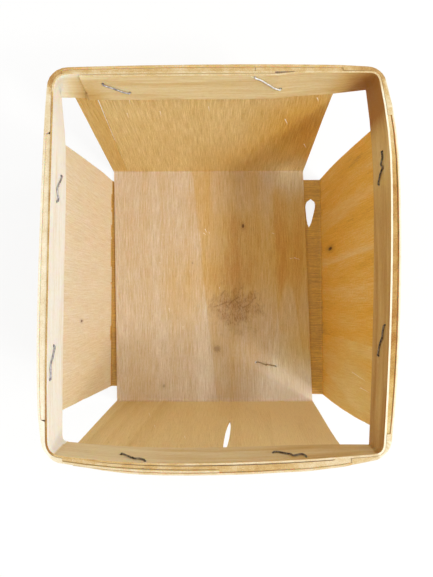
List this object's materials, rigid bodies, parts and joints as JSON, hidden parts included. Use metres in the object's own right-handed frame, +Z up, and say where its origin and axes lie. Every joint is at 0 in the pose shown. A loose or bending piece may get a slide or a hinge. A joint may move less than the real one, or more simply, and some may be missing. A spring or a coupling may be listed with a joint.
{
  "type": "berry basket",
  "caption": "Open berry basket of folded wood veneer straps, clamped at the rim by an inner and an outer veneer band and fastened with wire staples.",
  "frame": {"origin": "middle of the floor's underside, on the surface that the basket stands on", "axes": "+Z up out of the open mouth, +Y north along the longer sides towards the wall that leans out most, +X east towards the wall beside the knot hole"},
  "size_m": [0.152, 0.1721, 0.0891],
  "materials": {
    "veneer_floor": "bare peeled veneer, tan, slightly fuzzy",
    "veneer_wall": "bare peeled veneer, golden brown with figure",
    "veneer_pale": "bare peeled veneer, pale cream to tan",
    "veneer_gold": "bare peeled veneer, golden with rough cut edges",
    "wire_grey": "dull grey staple wire"
  },
  "bodies": {
    "root": {"strap_ns": "veneer_floor", "strap_ew": "veneer_wall", "inner_band": "veneer_pale", "outer_band": "veneer_gold", "staple_north_1": "wire_grey", "staple_north_2": "wire_grey", "staple_east_1": "wire_grey", "staple_east_2": "wire_grey", "staple_south_1": "wire_grey", "staple_south_2": "wire_grey", "staple_west_1": "wire_grey", "staple_west_2": "wire_grey", "staple_floor": "wire_grey"}
  },
  "joints": []
}
